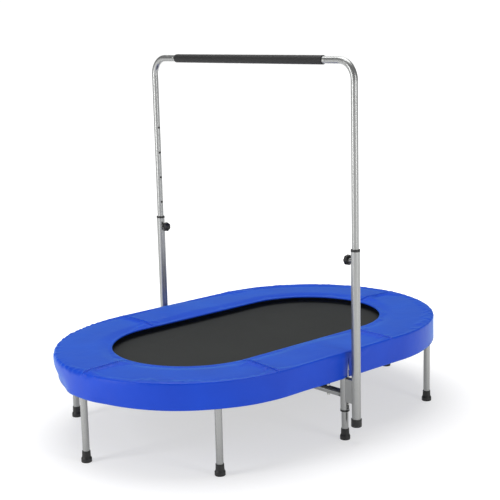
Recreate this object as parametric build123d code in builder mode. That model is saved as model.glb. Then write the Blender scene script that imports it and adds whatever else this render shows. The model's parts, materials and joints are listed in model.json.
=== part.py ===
from build123d import *
import os
from math import atan2, pi, sin

os.makedirs("parts", exist_ok=True)

# Oval folding mini trampoline for two people, with an adjustable handlebar across its middle.
# Millimetres, +Z up, origin on the floor at the middle. X runs along the oval, Y across it.
# "right" is +X, "left" is -X, "far" is +Y and "near" is -Y.

# ---- overall sizes ----
pad_length = 1422
pad_width = 903
pad_top = 296
pad_band = 190
skirt_drop = 87
bar_height = 1192
upright_gap = 31

# ---- tubes ----
frame_tube = 25.4
frame_wall = 1.5
outer_wall = 1.5
inner_tube = 22.2
inner_wall = 1.2
bush_wall = 1.7
socket_wall = 1.5

# ---- clearances ----
running_fit = 0.08
socket_fit = 0.1
side_gap = 0.6
skirt_gap = 1.2
end_gap = 0.3
pad_rest = 0.5

# ---- pad ----
cover_sheet = 1.5
skirt_sheet = 2.0
pad_thickness = 20.8
pad_split = 4.0
notch_gap = 1.5

# ---- hinge ----
pin_offset = 38
pin_rise = 21
pin_diameter = 8
lug_radius = 8
lug_inset = 1
pivot_height = 51.5
cheek_sheet = 2.0
bracket_floor = 2.5
bracket_end = 12
bracket_foot = 16

# ---- frame, mat and springs ----
plug_flange = 1.5
plug_length = 14
mat_gap = 98
mat_sheet = 2.0
mat_rise = 1
mat_split = 1.0
mat_tuck = 2.0
hem_width = 22
hem_sheet = 6.0
springs_per_half = 19
spring_barrel = 11
spring_length = 46
spring_wire = 2.4
hook_hole = 5.2
hook_length = 4
drill_length = 8
eye_radius = 4.2
ring_wire = 2.6
ring_width = 26
ring_depth = 22
ring_bend = 2.4
ring_gap = 0.4
spring_hinge_gap = 14

# ---- legs and feet ----
side_leg_angle = 60
socket_drop = 47
socket_bite = 6
leg_floor_gap = 3
leg_frame_gap = 3
foot_height = 36
foot_base_wall = 5.4
foot_neck_wall = 2.4
foot_flare = 12
foot_taper = 6
foot_bevel = 1.2
foot_lip = 0.6

# ---- centre stand ----
leg_collar_height = 100
leg_collar_lip = 6
collar_lip = 0.7
leg_sleeve = 30
inner_leg_drop = 17.5
crossbar_height = 150
stub_length = 88
stub_bolt_place = 71
leg_button_height = 119
leg_travel = 14
bracket_drop = 27.5
bracket_rise = 28
bracket_width = 20
bracket_wall = 2.5

# ---- handlebar ----
bend_radius = 60
bend_run = 14.5
grip_inset = 51
grip_wall = 3.4
grip_round = 2.5
swage_reach = 62
swage_wall = 1.2
swage_weld = 3
bar_button_inset = 42
cap_bottom = 54
cap_height = 25
cap_wall = 2.7
cap_floor = 4
cap_round = 2
collar_round = 1.5
upright_top = 615
top_collar_lip = 7
top_sleeve = 18
knob_drop = 30
hole_step = 90
hole_count = 5
hole_diameter = 8.4
handle_tail = 113
bush_length = 20

# ---- knobs and buttons ----
knob_diameter = 33
knob_thickness = 15
knob_lobes = 7
lobe_cut = 8
lobe_offset = 2.2
knob_chamfer = 1.5
stud_bite = 10
stud_diameter = 8
boss_diameter = 16
boss_length = 8
stud_clearance = 0.3
knob_gap = 0.6
button_diameter = 6.4
button_proud = 2.2
button_fit = 0.1
button_round = 1.6
clip_sheet = 0.8
clip_width = 5
clip_length = 34
clip_tail = 4
clip_return = 10
clip_bow = 7
bar_clip_bow = 4.6
leg_clip_gap = 2.6
bar_clip_gap = 2.4
bolt_diameter = 6
bolt_head = 11
nut_width = 10
nut_height = 5
bolt_tip = 4

# ---- worked out from the sizes above ----
outer_tube = inner_tube + 2 * (bush_wall + outer_wall)
socket_tube = inner_tube + 2 * (socket_wall + socket_fit)
collar_diameter = outer_tube + 2 * collar_lip
cap_diameter = outer_tube + 2 * cap_wall
grip_diameter = inner_tube + 2 * grip_wall
foot_base = inner_tube + 2 * foot_base_wall
foot_neck = inner_tube + 2 * foot_neck_wall
pad_bottom = pad_top - pad_thickness
frame_height = pad_bottom - pad_rest - frame_tube / 2
pin_height = frame_height + pin_rise
mat_height = frame_height + mat_rise
socket_bottom = frame_height - socket_drop
knob_height = upright_top - knob_drop
handle_bottom = knob_height - handle_tail
end_radius = pad_width / 2
arc_centre = (pad_length - pad_width) / 2
opening_radius = end_radius - pad_band
cheek_inner = frame_tube / 2 + side_gap
cheek_outer = cheek_inner + cheek_sheet
skirt_inner = end_radius - skirt_sheet
frame_radius = skirt_inner - skirt_gap - cheek_outer
mat_radius = frame_radius - mat_gap
first_spring = pin_offset + bracket_end + spring_hinge_gap
leg_top = pin_height - pivot_height
inner_leg_top = leg_top - inner_leg_drop
bracket_top = leg_top - bracket_drop
bracket_bottom = leg_collar_height + bracket_rise
upright_y = end_radius + upright_gap
skirt_bottom = pad_top - skirt_drop
outer_bore = outer_tube / 2 - outer_wall
inner_bore = inner_tube / 2 - inner_wall
bush_bore = inner_tube / 2 + running_fit
notch_inner = frame_radius - cheek_outer - notch_gap
notch_reach = pin_offset + (bracket_end**2 + lug_radius**2) ** 0.5 + notch_gap


def write(piece, name):
    piece.part.label = name
    export_step(piece.part, f"parts/{name}.step")


def write_near_and_far(piece, name):
    """The piece stands on the far side; the near one is its mirror image."""
    with BuildPart() as near:
        mirror(piece.part, about=Plane.XZ)
    write(piece, name + "_far")
    write(near, name + "_near")


def write_both(piece, name):
    """The piece and its near mirror image go into one node."""
    with BuildPart() as pair:
        add(piece.part)
        mirror(piece.part, about=Plane.XZ)
    write(pair, name)


def write_right_and_left(piece, name):
    """The piece stands on the right half; the left one is its mirror image."""
    with BuildPart() as left:
        mirror(piece.part, about=Plane.YZ)
    write(piece, name + "_right")
    write(left, name + "_left")


def across(y):
    """A plane facing -Y at the place y, with X to the right and Z up."""
    return Plane.XZ.offset(-y)


def half_oval(radius, start, mode=Mode.ADD):
    """The right half of the oval, from x = start to the end of the arc."""
    with BuildLine() as outline:
        Line((start, -radius), (arc_centre, -radius))
        ThreePointArc((arc_centre, -radius), (arc_centre + radius, 0), (arc_centre, radius))
        Line((arc_centre, radius), (start, radius))
        Line((start, radius), (start, -radius))
    make_face(outline.line.edges(), mode=mode)


def upright_tube(x, y, bottom, top, diameter, wall):
    """A plain vertical tube."""
    with BuildPart() as tube:
        with BuildSketch(Plane.XY.offset(bottom)):
            with Locations((x, y)):
                Circle(diameter / 2)
                Circle(diameter / 2 - wall, mode=Mode.SUBTRACT)
        extrude(amount=top - bottom)
    return tube.part


def cylinder_along_y(x, y_start, y_end, z, diameter):
    """A round bar along Y, as a loose object to add or cut."""
    middle = (y_start + y_end) / 2
    bar = Cylinder(diameter / 2, abs(y_end - y_start), mode=Mode.PRIVATE)
    return Pos(x, middle, z) * Rot(90, 0, 0) * bar


def rubber_foot(x, y):
    """A flared rubber boot with a blind hole for the leg."""
    with BuildPart() as foot:
        with BuildSketch(Plane(origin=(x, y, 0), x_dir=(1, 0, 0), z_dir=(0, -1, 0))):
            with BuildLine():
                Polyline(
                    (0, 0),
                    (foot_base / 2 - foot_bevel, 0),
                    (foot_base / 2, foot_bevel),
                    (foot_base / 2, foot_flare),
                    (foot_neck / 2, foot_flare + foot_taper),
                    (foot_neck / 2 - foot_lip, foot_height),
                    (inner_tube / 2, foot_height),
                    (inner_tube / 2, leg_floor_gap),
                    (0, leg_floor_gap),
                    (0, 0),
                )
            make_face()
        revolve(axis=Axis((x, y, 0), (0, 0, 1)))
    return foot.part


# ================= centre stand =================

# Centre leg: outer tube, with a slot on its outer side for the snap button.
slot_middle = leg_button_height - leg_travel / 2
slot_width = button_diameter + 2 * button_fit
slot_plane = across(frame_radius)
with BuildPart() as leg_slot:
    with BuildSketch(slot_plane):
        with Locations((0, slot_middle)):
            SlotCenterToCenter(leg_travel, slot_width, rotation=90)
    extrude(amount=-outer_tube)

with BuildPart() as centre_leg:
    add(upright_tube(0, frame_radius, leg_collar_height, leg_top, outer_tube, outer_wall))
    add(leg_slot.part, mode=Mode.SUBTRACT)
write_near_and_far(centre_leg, "centre_leg")

# Plastic bush between the outer and the inner leg tube, with a lip under the outer one.
with BuildPart() as leg_collar:
    with BuildSketch(Plane.XY.offset(leg_collar_height - leg_collar_lip)):
        with Locations((0, frame_radius)):
            Circle(collar_diameter / 2)
    extrude(amount=leg_collar_lip)
    with BuildSketch(Plane.XY.offset(leg_collar_height)):
        with Locations((0, frame_radius)):
            Circle(outer_bore)
    extrude(amount=leg_sleeve)
    with BuildSketch(Plane.XY.offset(leg_collar_height - leg_collar_lip)):
        with Locations((0, frame_radius)):
            Circle(bush_bore)
    extrude(amount=leg_collar_lip + leg_sleeve, mode=Mode.SUBTRACT)
    add(leg_slot.part, mode=Mode.SUBTRACT)
write_both(leg_collar, "leg_collars")

# Crossbar between the two centre legs, sleeved over a stub welded to each leg.
stub_start = frame_radius - outer_tube / 2
bolt_y = frame_radius - stub_bolt_place
with BuildPart() as crossbar:
    with BuildSketch(across(stub_start - end_gap)):
        with Locations((0, crossbar_height)):
            Circle(frame_tube / 2)
            Circle(frame_tube / 2 - frame_wall, mode=Mode.SUBTRACT)
    extrude(amount=2 * (stub_start - end_gap))
    with BuildSketch(Plane.XY.offset(crossbar_height - frame_tube)):
        with Locations((0, bolt_y), (0, -bolt_y)):
            Circle(bolt_diameter / 2)
    extrude(amount=2 * frame_tube, mode=Mode.SUBTRACT)
write(crossbar, "crossbar")

stub_diameter = frame_tube - 2 * frame_wall - 2 * socket_fit
with BuildPart() as crossbar_stub:
    with BuildSketch(across(frame_radius)):
        with Locations((0, crossbar_height)):
            Circle(stub_diameter / 2)
            Circle(stub_diameter / 2 - frame_wall, mode=Mode.SUBTRACT)
    extrude(amount=stub_length + outer_tube / 2)
    with BuildSketch(Plane.XY.offset(crossbar_height - frame_tube)):
        with Locations((0, frame_radius)):
            Circle(outer_tube / 2)
        with Locations((0, bolt_y)):
            Circle(bolt_diameter / 2)
    extrude(amount=2 * frame_tube, mode=Mode.SUBTRACT)
write_both(crossbar_stub, "crossbar_stubs")

bolt_bottom = crossbar_height - frame_tube / 2
bolt_top = crossbar_height + frame_tube / 2
with BuildPart() as crossbar_bolts:
    with BuildSketch(Plane.XY.offset(bolt_bottom)):
        with Locations((0, bolt_y), (0, -bolt_y)):
            Circle(bolt_diameter / 2)
    extrude(amount=frame_tube + nut_height + bolt_tip)
    with BuildSketch(Plane.XY.offset(bolt_bottom)):
        with Locations((0, bolt_y), (0, -bolt_y)):
            Circle(bolt_head / 2)
    extrude(amount=-nut_height)
write(crossbar_bolts, "crossbar_bolts")

with BuildPart() as crossbar_nuts:
    with BuildSketch(Plane.XY.offset(bolt_top)):
        with Locations((0, bolt_y), (0, -bolt_y)):
            RegularPolygon(nut_width / 2, 6, major_radius=False)
            Circle(bolt_diameter / 2, mode=Mode.SUBTRACT)
    extrude(amount=nut_height)
write(crossbar_nuts, "crossbar_nuts")

# Hinge bracket: an open channel on top of each centre leg. Its cheeks carry the two pins.
cheek_top = pin_height + lug_radius
cheek_end = pin_offset + bracket_end
with BuildPart() as hinge_bracket:
    with BuildSketch(across(frame_radius)):
        with BuildLine():
            Polyline(
                (-bracket_foot, leg_top),
                (bracket_foot, leg_top),
                (cheek_end, pin_height - lug_radius),
                (cheek_end, cheek_top),
                (-cheek_end, cheek_top),
                (-cheek_end, pin_height - lug_radius),
                (-bracket_foot, leg_top),
            )
        make_face()
    extrude(amount=cheek_outer, both=True)
    with BuildSketch(Plane.XY.offset(leg_top + bracket_floor)):
        with Locations((0, frame_radius)):
            Rectangle(2 * cheek_end, 2 * cheek_inner)
    extrude(amount=pin_height, mode=Mode.SUBTRACT)
    for side in (-1, 1):
        pin_x = side * pin_offset
        inner_end = frame_radius - cheek_outer
        pin_hole = cylinder_along_y(pin_x, inner_end, inner_end + 2 * cheek_outer, pin_height, pin_diameter)
        add(pin_hole, mode=Mode.SUBTRACT)
write_both(hinge_bracket, "hinge_brackets")

with BuildPart() as hinge_pins:
    for side in (-1, 1):
        for y in (-frame_radius, frame_radius):
            inner_end = y - cheek_outer
            add(cylinder_along_y(side * pin_offset, inner_end, y + cheek_outer, pin_height, pin_diameter))
write(hinge_pins, "hinge_pins")

# Lower upright of the handlebar, which hangs beside the centre leg and stays clear of the floor.
with BuildPart() as upright:
    add(upright_tube(0, upright_y, cap_bottom + cap_floor, upright_top, outer_tube, outer_wall))
    add(
        cylinder_along_y(0, upright_y - outer_tube, upright_y, knob_height, hole_diameter),
        mode=Mode.SUBTRACT,
    )
write_near_and_far(upright, "upright")

# Short box section welded between the leg and the upright, coped to both tubes.
with BuildPart() as upright_bracket:
    with BuildSketch(across(frame_radius)):
        with Locations((0, (bracket_bottom + bracket_top) / 2)):
            Rectangle(bracket_width, bracket_top - bracket_bottom)
            Rectangle(
                bracket_width - 2 * bracket_wall,
                bracket_top - bracket_bottom - 2 * bracket_wall,
                mode=Mode.SUBTRACT,
            )
    extrude(amount=frame_radius - upright_y)
    with BuildSketch(Plane.XY.offset(bracket_bottom)):
        with Locations((0, frame_radius), (0, upright_y)):
            Circle(outer_tube / 2)
    extrude(amount=bracket_top - bracket_bottom, mode=Mode.SUBTRACT)
write_both(upright_bracket, "upright_brackets")

# Plastic cap over the lower end of the upright.
with BuildPart() as upright_cap:
    with BuildSketch(Plane.XY.offset(cap_bottom)):
        with Locations((0, upright_y)):
            Circle(cap_diameter / 2)
    extrude(amount=cap_height)
    fillet(upright_cap.edges().sort_by(Axis.Z)[0], radius=cap_round)
    with BuildSketch(Plane.XY.offset(cap_bottom + cap_floor)):
        with Locations((0, upright_y)):
            Circle(outer_tube / 2)
    extrude(amount=cap_height, mode=Mode.SUBTRACT)
write_both(upright_cap, "upright_caps")

# Plastic collar in the top of the upright, which guides the sliding tube.
with BuildPart() as upright_collar:
    with BuildSketch(Plane.XY.offset(upright_top)):
        with Locations((0, upright_y)):
            Circle(collar_diameter / 2)
    extrude(amount=top_collar_lip)
    fillet(upright_collar.edges().sort_by(Axis.Z)[-1], radius=collar_round)
    with BuildSketch(Plane.XY.offset(upright_top)):
        with Locations((0, upright_y)):
            Circle(outer_bore)
    extrude(amount=-top_sleeve)
    with BuildSketch(Plane.XY.offset(upright_top - top_sleeve)):
        with Locations((0, upright_y)):
            Circle(bush_bore)
    extrude(amount=top_sleeve + top_collar_lip, mode=Mode.SUBTRACT)
write_both(upright_collar, "upright_collars")

# Threaded boss welded to the inner face of the upright for the knob's stud.
boss_end = upright_y - outer_tube / 2 - boss_length
boss_bore = stud_diameter + 2 * running_fit
with BuildPart() as knob_boss:
    add(cylinder_along_y(0, boss_end, upright_y, knob_height, boss_diameter))
    add(cylinder_along_y(0, boss_end, upright_y, knob_height, boss_bore), mode=Mode.SUBTRACT)
    with BuildSketch(Plane.XY.offset(knob_height - boss_diameter)):
        with Locations((0, upright_y)):
            Circle(outer_tube / 2)
    extrude(amount=2 * boss_diameter, mode=Mode.SUBTRACT)
write_both(knob_boss, "knob_bosses")

# ================= locking knobs =================

knob_face = boss_end - knob_gap
stud_end = knob_face - stud_bite
stud_tip = upright_y - inner_tube / 2 - stud_clearance
with BuildPart() as knob:
    with BuildSketch(across(knob_face)):
        with Locations((0, knob_height)):
            Circle(knob_diameter / 2)
            with PolarLocations(knob_diameter / 2 + lobe_offset, knob_lobes):
                Circle(lobe_cut / 2, mode=Mode.SUBTRACT)
    extrude(amount=knob_thickness)
    chamfer(knob.faces().sort_by(Axis.Y)[0].edges(), length=knob_chamfer)
    add(cylinder_along_y(0, stud_end, knob_face, knob_height, stud_diameter), mode=Mode.SUBTRACT)
write_near_and_far(knob, "knob")

with BuildPart() as knob_stud:
    add(cylinder_along_y(0, stud_end, stud_tip, knob_height, stud_diameter))
write_near_and_far(knob_stud, "knob_stud")

# ================= telescoping centre feet =================

with BuildPart() as inner_leg:
    add(upright_tube(0, frame_radius, leg_floor_gap, inner_leg_top, inner_tube, inner_wall))
    add(
        cylinder_along_y(0, frame_radius, frame_radius + inner_tube, leg_button_height, slot_width),
        mode=Mode.SUBTRACT,
    )
write_near_and_far(inner_leg, "inner_leg")

with BuildPart() as centre_foot:
    add(rubber_foot(0, frame_radius))
write_near_and_far(centre_foot, "centre_foot")

# One-piece snap button: the button and its spring strip, folded back inside the inner leg.
leg_clip_y = frame_radius + inner_bore - leg_clip_gap
leg_button_end = frame_radius + outer_tube / 2 + button_proud
clip_foot = leg_button_height - clip_tail
clip_top = leg_button_height + clip_length
clip_inside = clip_top - clip_sheet
clip_end = leg_button_height + clip_return
clip_back = leg_clip_y - clip_bow
with BuildPart() as leg_button:
    add(cylinder_along_y(0, leg_clip_y, leg_button_end, leg_button_height, button_diameter))
    fillet(leg_button.edges().sort_by(Axis.Y)[-1], radius=button_round)
    with BuildSketch(Plane.YZ.offset(-clip_width / 2)):
        with BuildLine():
            Polyline(
                (leg_clip_y, clip_foot),
                (leg_clip_y, clip_top),
                (clip_back, clip_top),
                (clip_back, clip_end),
                (clip_back + clip_sheet, clip_end),
                (clip_back + clip_sheet, clip_inside),
                (leg_clip_y - clip_sheet, clip_inside),
                (leg_clip_y - clip_sheet, clip_foot),
                (leg_clip_y, clip_foot),
            )
        make_face()
    extrude(amount=clip_width)
write_near_and_far(leg_button, "leg_button")

# ================= sliding handlebar =================

cross_end = upright_y - bend_radius - bend_run
cross_tube_length = 2 * cross_end
grip_length = cross_tube_length - 2 * grip_inset
bar_button_place = cross_end - bar_button_inset
shoulder = cross_end + end_gap
swage_bore = inner_bore - socket_fit - swage_wall
swage_end = shoulder - swage_reach


def handle_sweep(radius):
    """The bent side tube as a solid bar of one radius, from its foot to its shoulder."""
    with BuildPart() as bar:
        with BuildLine():
            bend_y = upright_y - bend_radius
            bend_z = bar_height - bend_radius
            slant = bend_radius * sin(pi / 4)
            Line((0, upright_y, handle_bottom), (0, upright_y, bend_z))
            bend_middle = (0, bend_y + slant, bend_z + slant)
            ThreePointArc((0, upright_y, bend_z), bend_middle, (0, bend_y, bar_height))
            Line((0, bend_y, bar_height), (0, shoulder, bar_height))
        with BuildSketch(Plane.XY.offset(handle_bottom)):
            with Locations((0, upright_y)):
                Circle(radius)
        sweep()
    return bar.part


with BuildPart() as handle_tube:
    add(handle_sweep(inner_tube / 2))
    add(handle_sweep(inner_bore), mode=Mode.SUBTRACT)
    # The end is drawn down to slip inside the cross tube.
    shoulder_end = shoulder + swage_weld
    add(cylinder_along_y(0, shoulder, shoulder_end, bar_height, inner_tube))
    add(cylinder_along_y(0, swage_end, shoulder, bar_height, 2 * (inner_bore - socket_fit)))
    add(cylinder_along_y(0, swage_end, shoulder_end, bar_height, 2 * swage_bore), mode=Mode.SUBTRACT)
    for step in range(hole_count):
        height = knob_height + step * hole_step
        add(
            cylinder_along_y(0, upright_y - inner_tube, upright_y, height, hole_diameter),
            mode=Mode.SUBTRACT,
        )
    with BuildSketch(Plane.YZ):
        with Locations((bar_button_place, bar_height)):
            Circle(slot_width / 2)
    extrude(amount=-inner_tube, mode=Mode.SUBTRACT)
write_near_and_far(handle_tube, "handle_tube")

with BuildPart() as cross_tube:
    with BuildSketch(across(cross_end)):
        with Locations((0, bar_height)):
            Circle(inner_tube / 2)
            Circle(inner_bore, mode=Mode.SUBTRACT)
    extrude(amount=cross_tube_length)
    with BuildSketch(Plane.YZ):
        with Locations((bar_button_place, bar_height), (-bar_button_place, bar_height)):
            Circle(slot_width / 2)
    extrude(amount=-inner_tube, mode=Mode.SUBTRACT)
write(cross_tube, "cross_tube")

with BuildPart() as foam_grip:
    with BuildSketch(across(grip_length / 2)):
        with Locations((0, bar_height)):
            Circle(grip_diameter / 2)
            Circle(inner_tube / 2, mode=Mode.SUBTRACT)
    extrude(amount=grip_length)
    fillet(foam_grip.edges().filter_by(GeomType.CIRCLE).group_by(SortBy.RADIUS)[-1], radius=grip_round)
write(foam_grip, "foam_grip")

# Plastic guide bushes on the lower ends of the side tubes.
with BuildPart() as handle_bushes:
    with BuildSketch(Plane.XY.offset(handle_bottom)):
        with Locations((0, upright_y), (0, -upright_y)):
            Circle(outer_bore - running_fit)
            Circle(inner_tube / 2, mode=Mode.SUBTRACT)
    extrude(amount=bush_length)
write(handle_bushes, "handle_bushes")

# Snap buttons that lock the side tubes into the cross tube. They face -X.
bar_clip_x = bar_clip_gap - swage_bore
bar_clip_back = bar_clip_x + bar_clip_bow
bar_clip_foot = bar_button_place - clip_tail
bar_clip_top = bar_button_place + clip_length
bar_clip_inside = bar_clip_top - clip_sheet
bar_clip_end = bar_button_place + clip_return
with BuildPart() as bar_button:
    with BuildSketch(Plane.YZ.offset(bar_clip_x)):
        with Locations((bar_button_place, bar_height)):
            Circle(button_diameter / 2)
    extrude(amount=-(inner_tube / 2 + button_proud + bar_clip_x))
    fillet(bar_button.edges().sort_by(Axis.X)[0], radius=button_round)
    with BuildSketch(Plane.XY.offset(bar_height - clip_width / 2)):
        with BuildLine():
            Polyline(
                (bar_clip_x, bar_clip_foot),
                (bar_clip_x, bar_clip_top),
                (bar_clip_back, bar_clip_top),
                (bar_clip_back, bar_clip_end),
                (bar_clip_back - clip_sheet, bar_clip_end),
                (bar_clip_back - clip_sheet, bar_clip_inside),
                (bar_clip_x + clip_sheet, bar_clip_inside),
                (bar_clip_x + clip_sheet, bar_clip_foot),
                (bar_clip_x, bar_clip_foot),
            )
        make_face()
    extrude(amount=clip_width)
write_near_and_far(bar_button, "bar_button")

# ================= folding halves =================

frame_start = end_gap + plug_flange


def frame_sweep(radius):
    """The bent frame tube of the right half as a solid bar of one radius."""
    with BuildPart() as bar:
        with BuildLine():
            Line((frame_start, frame_radius, frame_height), (arc_centre, frame_radius, frame_height))
            ThreePointArc(
                (arc_centre, frame_radius, frame_height),
                (arc_centre + frame_radius, 0, frame_height),
                (arc_centre, -frame_radius, frame_height),
            )
            Line((arc_centre, -frame_radius, frame_height), (frame_start, -frame_radius, frame_height))
        with BuildSketch(Plane.YZ.offset(frame_start)):
            with Locations((frame_radius, frame_height)):
                Circle(radius)
        sweep()
    return bar.part


# Spring places: evenly spaced along the oval, from one side of the hinge round to the other.
straight = arc_centre - first_spring
spring_run = 2 * straight + pi * frame_radius
spring_places = []
for number in range(springs_per_half):
    along = spring_run * number / (springs_per_half - 1)
    if along < straight:
        spring_places.append((first_spring + along, 0, -90))
    elif along > spring_run - straight:
        spring_places.append((first_spring + spring_run - along, 0, 90))
    else:
        spring_places.append((arc_centre, 0, -90 + (along - straight) / (pi * frame_radius) * 180))


def spring_axes():
    """One plane per spring: x runs outward across the oval, z up, at the height of the mat."""
    return [Location((x, y, mat_height), (0, 0, angle)) for x, y, angle in spring_places]


frame_outer = frame_sweep(frame_tube / 2)
with BuildPart() as frame_tube_half:
    add(frame_outer)
    add(frame_sweep(frame_tube / 2 - frame_wall), mode=Mode.SUBTRACT)
    for place in spring_axes():
        drill = Cylinder(hook_hole / 2, drill_length, mode=Mode.PRIVATE)
        add(place * Pos(frame_radius - frame_tube / 2, 0, 0) * Rot(0, 90, 0) * drill, mode=Mode.SUBTRACT)
write_right_and_left(frame_tube_half, "frame_tube")

with BuildPart() as frame_plugs:
    with BuildSketch(Plane.YZ.offset(end_gap)):
        with Locations((frame_radius, frame_height), (-frame_radius, frame_height)):
            Circle(frame_tube / 2)
    extrude(amount=plug_flange)
    with BuildSketch(Plane.YZ.offset(frame_start)):
        with Locations((frame_radius, frame_height), (-frame_radius, frame_height)):
            Circle(frame_tube / 2 - frame_wall)
    extrude(amount=plug_length)
write_right_and_left(frame_plugs, "frame_plugs")

# Hinge lugs welded on top of the frame tube at both ends.
lug_half_width = frame_tube / 2 - lug_inset
lug_bore = pin_diameter + 2 * running_fit
with BuildPart() as hinge_lug:
    with BuildSketch(across(frame_radius)):
        with Locations((pin_offset, pin_height)):
            Circle(lug_radius)
        with Locations((pin_offset, (pin_height + frame_height) / 2)):
            Rectangle(2 * lug_radius, pin_height - frame_height)
    extrude(amount=lug_half_width, both=True)
    lug_end = frame_radius + frame_tube
    add(cylinder_along_y(pin_offset, frame_radius, lug_end, pin_height, lug_bore), mode=Mode.SUBTRACT)
    add(cylinder_along_y(pin_offset, 0, frame_radius, pin_height, lug_bore), mode=Mode.SUBTRACT)
    with BuildSketch(Plane.YZ):
        with Locations((frame_radius, frame_height)):
            Circle(frame_tube / 2)
    extrude(amount=arc_centre, mode=Mode.SUBTRACT)
with BuildPart() as hinge_lugs:
    add(hinge_lug.part)
    mirror(hinge_lug.part, about=Plane.XZ)
write_right_and_left(hinge_lugs, "hinge_lugs")

# Sockets under the frame tube, legs and rubber feet.
leg_places = []
for name, angle in (("tip", 0), ("far", side_leg_angle), ("near", -side_leg_angle)):
    spot = Vector(frame_radius, 0).rotate(Axis.Z, angle) + Vector(arc_centre, 0)
    leg_places.append((name, spot.X, spot.Y))

socket_top = frame_height - socket_bite
with BuildPart() as leg_sockets:
    for name, x, y in leg_places:
        add(upright_tube(x, y, socket_bottom, socket_top, socket_tube, socket_wall))
    add(frame_outer, mode=Mode.SUBTRACT)
write_right_and_left(leg_sockets, "leg_sockets")

leg_end = frame_height - frame_tube / 2 - leg_frame_gap
for name, x, y in leg_places:
    with BuildPart() as leg:
        add(upright_tube(x, y, leg_floor_gap, leg_end, inner_tube, inner_wall))
    write_right_and_left(leg, "leg_" + name)

with BuildPart() as feet:
    for name, x, y in leg_places:
        add(rubber_foot(x, y))
write_right_and_left(feet, "feet")

# Springs: a close-wound barrel with a hook into the frame tube and an eye on the mat's ring.
hook_reach = frame_radius - frame_tube / 2 + hook_length
ring_base = mat_radius - hem_width / 2
ring_corner = ring_base + ring_depth
ring_apex = ring_corner - ring_bend / sin(atan2(ring_width / 2, ring_depth)) + ring_bend
eye_place = ring_apex + eye_radius - spring_wire / 2 - ring_wire / 2 - ring_gap
barrel_start = eye_place + eye_radius
with BuildPart() as one_spring:
    with BuildSketch(Plane.YZ.offset(barrel_start)):
        Circle(spring_barrel / 2)
    extrude(amount=spring_length)
    with BuildSketch(Plane.YZ.offset(barrel_start + spring_length)):
        Circle(spring_wire / 2)
    extrude(amount=hook_reach - barrel_start - spring_length)
    eye = Torus(eye_radius, spring_wire / 2, mode=Mode.PRIVATE)
    add(Pos(eye_place, 0, 0) * Rot(90, 0, 0) * eye)
with BuildPart() as springs:
    for place in spring_axes():
        add(place * one_spring.part)
write_right_and_left(springs, "springs")

# Triangular wire rings: the corner holds a spring's eye and the straight side is sewn into the hem.
with BuildPart() as one_ring:
    with BuildLine() as ring_path:
        FilletPolyline(
            (ring_corner, 0, 0),
            (ring_base, ring_width / 2, 0),
            (ring_base, -ring_width / 2, 0),
            radius=ring_bend,
            close=True,
        )
    with BuildSketch(Plane(origin=ring_path.line @ 0, z_dir=ring_path.line % 0)):
        Circle(ring_wire / 2)
    sweep()
with BuildPart() as mat_rings:
    for place in spring_axes():
        add(place * one_ring.part)
write_right_and_left(mat_rings, "mat_rings")

# Jumping mat and the folded webbing hem around its edge.
with BuildPart() as mat:
    with BuildSketch(Plane.XY.offset(mat_height - mat_sheet / 2)):
        half_oval(mat_radius - mat_tuck, mat_split)
    extrude(amount=mat_sheet)
write_right_and_left(mat, "mat")

with BuildPart() as mat_hem:
    with BuildSketch(Plane.XY.offset(mat_height - hem_sheet / 2)):
        half_oval(mat_radius, mat_split)
        half_oval(mat_radius - hem_width, mat_split, mode=Mode.SUBTRACT)
    extrude(amount=hem_sheet)
    add(mat.part, mode=Mode.SUBTRACT)
write_right_and_left(mat_hem, "mat_hem")

# Foam pad band inside its cover. Both are notched over the hinge, which swings through there.
notch_width = skirt_inner - notch_inner
notch_middle = (skirt_inner + notch_inner) / 2
with BuildPart() as pad_foam:
    with BuildSketch(Plane.XY.offset(pad_bottom + cover_sheet)):
        half_oval(skirt_inner, pad_split + cover_sheet)
        half_oval(opening_radius + cover_sheet, 0, mode=Mode.SUBTRACT)
        with Locations((0, notch_middle), (0, -notch_middle)):
            Rectangle(2 * (notch_reach + cover_sheet), notch_width + 2 * cover_sheet, mode=Mode.SUBTRACT)
    extrude(amount=pad_thickness - 2 * cover_sheet)
write_right_and_left(pad_foam, "pad_foam")

with BuildPart() as pad_cover:
    with BuildSketch(Plane.XY.offset(pad_bottom)):
        half_oval(end_radius, pad_split)
        half_oval(opening_radius, 0, mode=Mode.SUBTRACT)
        with Locations((0, notch_middle), (0, -notch_middle)):
            Rectangle(2 * notch_reach, notch_width, mode=Mode.SUBTRACT)
    extrude(amount=pad_thickness)
    with BuildSketch(Plane.XY.offset(skirt_bottom)):
        half_oval(end_radius, pad_split)
        half_oval(skirt_inner, 0, mode=Mode.SUBTRACT)
    extrude(amount=pad_top - skirt_bottom)
    add(pad_foam.part, mode=Mode.SUBTRACT)
write_right_and_left(pad_cover, "pad_cover")
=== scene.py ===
import json
import math

import bpy
import numpy as np
from mathutils import Matrix, Vector, noise


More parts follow.
